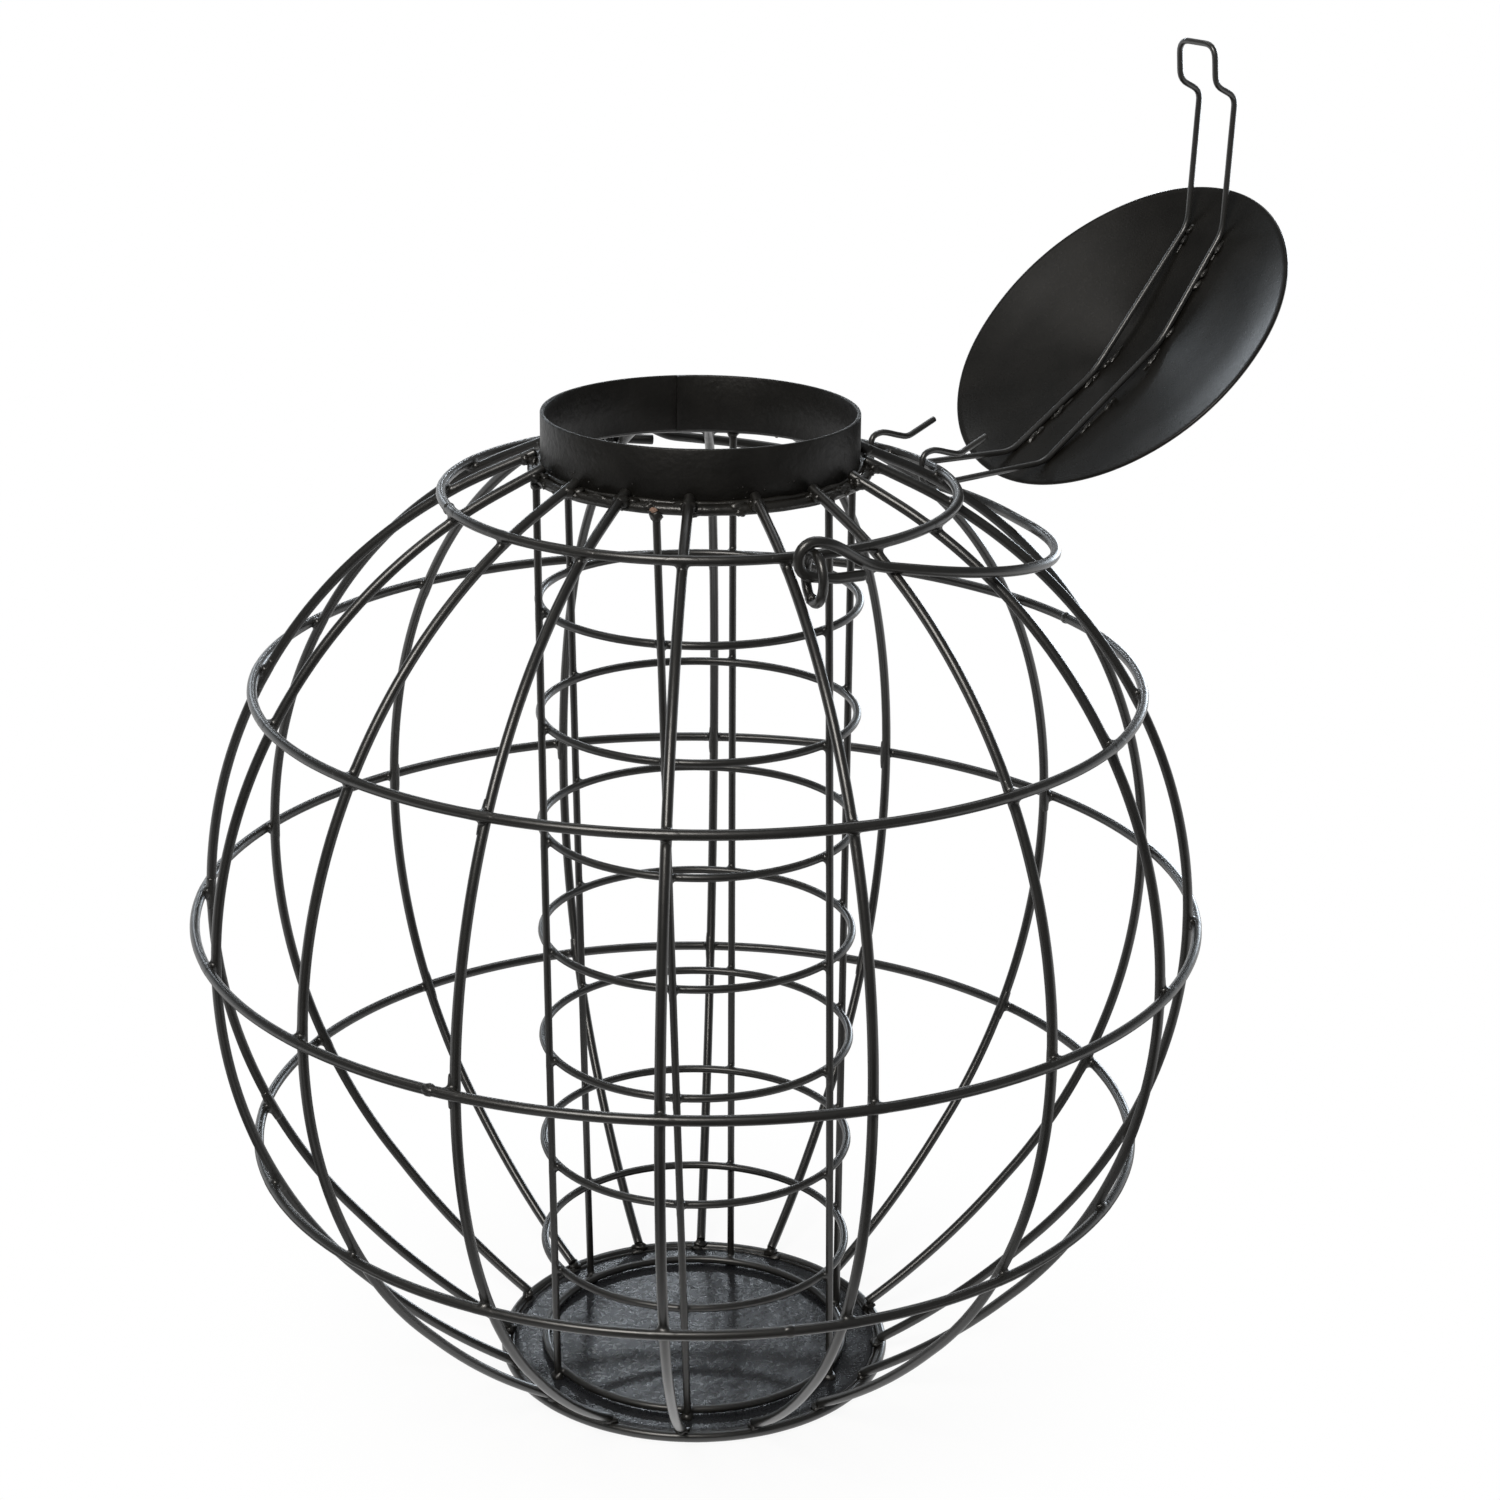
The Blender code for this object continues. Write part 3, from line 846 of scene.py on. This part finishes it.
def hook_points(sign):
    """One open hook round the cage's top ring, in shares of its own radius."""
    reach = (ball_ring_cad + lid_wire_cad) / 2 + hook_slack
    out_shares = (2.3, 1.1, 0.0, -0.8, -1.0, -0.72, 0.1, 0.93, 2.3, 3.35, 4.55, 6.45)
    up_shares = (-1.93, -2.05, -1.87, -1.2, 0.0, 0.93, 1.2, 1.08, 0.66, 0.45, 0.83, 1.55)
    side_shares = (0.92, 0.96, 0.98, 0.99, 1.0, 1.01, 1.02, 1.04, 1.07, 1.10, 1.13, 1.17)
    if sign < 0:
        side_shares = (0.92, 0.96, 0.98, 0.99, 1.0, 1.0, 0.99, 0.97, 0.93, 0.90, 0.87, 0.84)
    lean = Matrix.Rotation(-math.radians(lid_lean), 3, "Y")
    hinge_line = Vector((lid_reach, 0.0, -lid_lift))
    points = []
    for out_share, up_share, side_share in zip(out_shares, up_shares, side_shares):
        from_hinge = Vector((out_share * reach - hinge_outset, 0.0, up_share * reach + hinge_drop))
        beside = Vector((0.0, sign * side_share * hook_spread, 0.0))
        points.append(hinge_line + lean @ from_hinge + beside)
    return points


def lid_leg(sign, centre_bend):
    """Half of the lid's wire, from the middle of the tongue's end to the cut tail of one hook."""
    side = sign * lid_wire_spread
    hook = hook_points(sign)
    corners = [Vector((-tongue_end_reach, 0.0, -tongue_end_drop)),
               Vector((-tongue_end_reach, side, -tongue_end_drop)),
               Vector((-catch_foot_reach, side, -catch_foot_drop)),
               Vector((-catch_top_reach, side, -catch_top_drop)),
               Vector((-far_bend, side, lid_wire_height(far_bend, side))),
               Vector((centre_bend, side, lid_wire_height(centre_bend, side))),
               Vector((near_bend, side, lid_wire_height(near_bend, side))),
               hook[0]]
    cuts = [tongue_corner, catch_corner, catch_corner, lid_wire_bend, lid_wire_bend, lid_wire_bend]
    return rounded(corners, cuts)[:-1] + smoothed(hook, per_leg=8)


def make_lid_sheet(place):
    rings, steps = 30, 160
    dent_scale, dent_start = 38.0, Vector((3.1, 0.7, 0.0))
    edge, edge_turn = lid_edge, lid_edge * 0.3
    half = lid_thickness / 2
    levels = [(lid_radius * ring / rings, half) for ring in range(1, rings)]
    levels += [(lid_radius - edge, half), (lid_radius - edge_turn, half - edge_turn),
               (lid_radius, half - edge), (lid_radius, edge - half),
               (lid_radius - edge_turn, edge_turn - half), (lid_radius - edge, -half)]
    levels += [(lid_radius * ring / rings, -half) for ring in range(rings - 1, 0, -1)]
    vertices = [place @ Vector((0, 0, lid_sheet_height(0, 0) + half))]
    for radius, offset in levels:
        for step in range(steps):
            turn = math.tau * step / steps
            x, y = radius * math.cos(turn), radius * math.sin(turn)
            dent = lid_dent * noise.noise(Vector((x, y, 0.0)) * dent_scale + dent_start)
            vertices.append(place @ Vector((x, y, lid_sheet_height(x, y) + offset + dent)))
    vertices.append(place @ Vector((0, 0, lid_sheet_height(0, 0) - half)))
    piece = add_piece("lid_sheet", (vertices, disc_faces(len(levels), steps)), lid_coat, "lid")
    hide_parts("lid_disc")


def make_lid_wire(place):
    path = lid_leg(1, left_centre_bend)
    path.reverse()
    path += lid_leg(-1, right_centre_bend)[1:]
    path = resampled([place @ point for point in path], lid_wire_step)
    piece = add_piece("lid_bent_wire", tube(path, lid_wire_size / 2, waver=0.02), lid_wire_coat, "lid")
    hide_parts("lid_wire")


def make_lid_welds(place):
    """Spots and thin beads of weld metal along both legs of the lid's wire."""
    spots = ((1, (-0.0335, 0.0040, 0.0105, 0.0240, 0.0330)),
             (-1, (-0.0340, -0.0230, -0.0085, -0.0010, 0.0160, 0.0240)))
    spot_bits, spot_shift, spot_side, spot_sink = 3, 0.0022, 0.0013, 0.0002
    spot_width, spot_height, seed_scale = 0.0006, 0.00055, 900
    beads = ((-0.0350, -0.0300), (-0.0020, 0.0050), (0.0190, 0.0270))
    bead_steps, bead_shift, bead_side, bead_sink, bead_radius = 12, 0.0015, 0.72, 0.0001, 0.00036
    half = lid_thickness / 2
    turn = place.to_3x3()
    along, across, up = (turn @ way for way in (x_way, y_way, upward))

    def under_sheet(x, y, sink):
        return place @ Vector((x, y, lid_sheet_height(x, y) - half - sink))

    parts = []
    for sign, places in spots:
        side = sign * lid_wire_spread
        for spot in places:
            for _ in range(spot_bits):
                x = spot + dice.uniform(-spot_shift, spot_shift)
                y = side - spot_side * dice.uniform(0.7, 1.25)
                length = dice.uniform(0.0008, 0.0021)
                parts.append(blob(under_sheet(x, y, spot_sink), along, across, up,
                                  (length, spot_width, spot_height), x * seed_scale, roughness=0.5))
        for start, end in beads:
            shift = dice.uniform(-bead_shift, bead_shift)
            y = side - lid_wire_size * bead_side
            bead = [under_sheet(start + shift + (end - start) * step / bead_steps, y, bead_sink)
                    for step in range(bead_steps + 1)]
            parts.append(tube(bead, bead_radius, sides=8, waver=0.35))
    add_piece("lid_welds", joined(parts), weld_coat, "lid")


def make_lid():
    place = Matrix.Translation(joints["lid_hinge"]["pos_m"])
    place @= Matrix.Rotation(math.radians(lid_azimuth), 4, "Z")
    place @= Matrix.Rotation(math.radians(lid_lean), 4, "Y")
    place @= Matrix.Translation((-lid_reach, 0.0, lid_lift))
    make_lid_sheet(place)
    make_lid_wire(place)
    make_lid_welds(place)


make_ribs()
make_ball_rings()
make_tube()
make_collar()
make_base()
make_eyes()
make_handle()
make_lid()


# The floor, the background, the camera and the lights

white = (1.0, 1.0, 1.0, 1.0)
floor_grey = (0.93, 0.93, 0.93, 1.0)
world_light = 0.50
room_gloss = 0.14               # how bright the room in front of the object is in its gloss
front_floor_gloss = 0.08
backdrop_tint = (0.93, 0.97, 1.0, 1.0)

# Where the floor and the background fade in the object's gloss

near_floor = (0.06, 0.20)       # distance from the axis
floor_behind = (0.0, 0.40)
floor_aside = (0.14, 0.34)
floor_in_front = (-0.42, -0.18)
streak_lean, streak_width, streak_gloss = -0.45, 0.12, 0.55     # a pale strip of floor in front
streak_start = (-0.05, -0.20)
shadow_ring = (0.05, 0.14)      # the camera sees the floor's own shadow a little inside this
shadow_white = 0.90
sweep_behind = (0.0, 0.60)
sweep_height = (0.18, 0.38)


def add_math(tree, operation, *values):
    node = add_node(tree, "ShaderNodeMath", settings=(("operation", operation),))
    for socket, value in zip(node.inputs, values):
        if isinstance(value, float):
            socket.default_value = value
        else:
            tree.links.new(value, socket)
    return node.outputs[0]


def add_fade(tree, value, span, low, high):
    """Smooth change from low to high as the value goes through the span."""
    start, end = span
    node = add_node(tree, "ShaderNodeMapRange", settings=(("interpolation_type", "SMOOTHSTEP"),),
                    inputs=(("From Min", start), ("From Max", end), ("To Min", low), ("To Max", high)))
    tree.links.new(value, node.inputs["Value"])
    return node.outputs["Result"]


def ray_kinds(tree):
    """One for rays that show plain white, one for gloss: each is 1 on such a ray and 0 on others."""
    path = add_node(tree, "ShaderNodeLightPath")
    plain = add_math(tree, "MAXIMUM", path.outputs["Is Camera Ray"], path.outputs["Is Transmission Ray"])
    return plain, path.outputs["Is Glossy Ray"]


def make_floor():
    """White floor that keeps the object's shadow. In gloss it is white but for a dim part in front."""
    material, tree, shader = new_material("floor_white")
    link = tree.links.new
    shader.inputs["Base Color"].default_value = floor_grey
    shader.inputs["Roughness"].default_value = 0.95
    shader.inputs["Specular IOR Level"].default_value = 0.0
    place = add_node(tree, "ShaderNodeTexCoord")
    length = add_node(tree, "ShaderNodeVectorMath", settings=(("operation", "LENGTH"),))
    parts = add_node(tree, "ShaderNodeSeparateXYZ")
    link(place.outputs["Object"], length.inputs[0])
    link(place.outputs["Object"], parts.inputs[0])
    distance, x, y = length.outputs["Value"], parts.outputs["X"], parts.outputs["Y"]
    plain, gloss = ray_kinds(tree)
    near = add_fade(tree, distance, near_floor, 1.0, front_floor_gloss)
    behind = add_fade(tree, y, floor_behind, front_floor_gloss, 1.0)
    aside = add_fade(tree, add_math(tree, "ABSOLUTE", x), floor_aside, 0.0, 1.0)
    beside = add_math(tree, "MULTIPLY", aside, add_fade(tree, y, floor_in_front, 0.0, 1.0))
    shift = add_math(tree, "MULTIPLY_ADD", y, streak_lean, x)
    streak = add_fade(tree, add_math(tree, "ABSOLUTE", shift), (0.0, streak_width), streak_gloss, 0.0)
    in_front = add_fade(tree, y, streak_start, 0.0, 1.0)
    shown = add_math(tree, "MAXIMUM", near, behind)
    shown = add_math(tree, "MAXIMUM", shown, beside)
    shown = add_math(tree, "MAXIMUM", shown, add_math(tree, "MULTIPLY", streak, in_front))
    strength = add_math(tree, "MAXIMUM", plain, add_math(tree, "MULTIPLY", gloss, shown))
    whiteness = add_fade(tree, distance, shadow_ring, shadow_white, 1.0)
    flat_white = add_math(tree, "MULTIPLY", plain, whiteness)
    glow = add_node(tree, "ShaderNodeEmission", inputs=(("Color", white),))
    mix = add_node(tree, "ShaderNodeMixShader")
    link(strength, glow.inputs["Strength"])
    link(add_math(tree, "MAXIMUM", flat_white, gloss), mix.inputs["Fac"])
    link(shader.outputs[0], mix.inputs[1])
    link(glow.outputs[0], mix.inputs[2])
    link(mix.outputs[0], tree.nodes["Material Output"].inputs["Surface"])
    half = 3.0
    corners = [(-half, -half, 0), (half, -half, 0), (half, half, 0), (-half, half, 0)]
    mesh = new_mesh("floor", (corners, [(0, 1, 2, 3)]))
    mesh.materials.append(material)
    floor = add_object("floor", mesh)


def make_world():
    """White to the camera. In gloss it is a white sweep behind the object and a dim room in front."""
    world = bpy.data.worlds.new("studio")
    bpy.context.scene.world = world
    world.use_nodes = True
    tree = world.node_tree
    link = tree.links.new
    tree.nodes.clear()
    place = add_node(tree, "ShaderNodeTexCoord")
    parts = add_node(tree, "ShaderNodeSeparateXYZ")
    link(place.outputs["Generated"], parts.inputs[0])
    plain, gloss = ray_kinds(tree)
    behind = add_fade(tree, parts.outputs["Y"], sweep_behind, 0.0, 1.0)
    low = add_fade(tree, parts.outputs["Z"], sweep_height, 1.0, 0.0)
    sweep = add_math(tree, "MAXIMUM", add_math(tree, "MULTIPLY", behind, low), room_gloss)
    others = add_math(tree, "SUBTRACT", 1.0, add_math(tree, "MAXIMUM", plain, gloss))
    strength = add_math(tree, "MAXIMUM", plain, add_math(tree, "MULTIPLY", gloss, sweep))
    strength = add_math(tree, "MAXIMUM", strength, add_math(tree, "MULTIPLY", others, world_light))
    colour = add_node(tree, "ShaderNodeMix", settings=(("data_type", "RGBA"),))
    colour.inputs[6].default_value = white
    colour.inputs[7].default_value = backdrop_tint
    link(gloss, colour.inputs[0])
    background = add_node(tree, "ShaderNodeBackground")
    output = add_node(tree, "ShaderNodeOutputWorld")
    link(colour.outputs[2], background.inputs["Color"])
    link(strength, background.inputs["Strength"])
    link(background.outputs[0], output.inputs["Surface"])


def add_lamp(name, place, target, size, power, tint):
    """Soft rectangular lamp that the camera doesn't see."""
    data = bpy.data.lights.new(name, "AREA")
    data.shape = "RECTANGLE"
    data.size, data.size_y = size
    data.energy = power
    data.color = tint
    lamp = add_object(name, data)
    lamp.location = place
    lamp.rotation_euler = (Vector(target) - Vector(place)).to_track_quat("-Z", "Y").to_euler()
    lamp.visible_camera = False


def make_camera():
    """The photograph's view, solved from the cage's joints."""
    azimuth, dip, roll = math.radians(-1.1), math.radians(19.53), math.radians(0.74)
    sensor_width, focal_length = 36.0, 75.57    # of the film, in millimetres
    camera_place = (0.0261, -0.7125, 0.41425)
    forward = Vector((math.sin(azimuth) * math.cos(dip), math.cos(azimuth) * math.cos(dip),
                      -math.sin(dip)))
    right = Vector((math.cos(azimuth), -math.sin(azimuth), 0.0))
    up = right.cross(forward)
    rolled_right = right * math.cos(roll) + up * math.sin(roll)
    rolled_up = up * math.cos(roll) - right * math.sin(roll)
    data = bpy.data.cameras.new("camera")
    data.sensor_width = sensor_width
    data.lens = focal_length
    camera = add_object("camera", data)
    turn = Matrix((rolled_right, rolled_up, -forward)).transposed().to_4x4()
    camera.matrix_world = Matrix.Translation(camera_place) @ turn
    bpy.context.scene.camera = camera


make_floor()
make_world()
add_lamp("key", (-0.30, -0.85, 1.05), (0, 0, 0.12), (0.50, 0.50), 10.0, (1.0, 0.96, 0.90))
add_lamp("top", (-0.62, 0.18, 1.15), (0, 0, 0.12), (0.28, 0.28), 0.55, (1.0, 0.97, 0.93))
add_lamp("over", (0.10, 0.75, 1.25), (0, 0, 0.12), (0.80, 0.35), 2.4, (0.96, 0.98, 1.0))
add_lamp("right_back", (0.72, 1.55, 0.19), (0, 0, 0.14), (0.60, 0.30), 5.5, (0.80, 0.90, 1.0))
add_lamp("left_back", (-0.78, 1.62, 0.80), (0, 0, 0.24), (0.42, 0.20), 1.8, (0.84, 0.92, 1.0))
add_lamp("plate", (-0.115, 1.57, 0.843), (-0.02, 0.04, 0), (0.14, 0.04), 0.9, (0.84, 0.92, 1.0))
make_camera()
bpy.context.scene.view_settings.view_transform = "Standard"
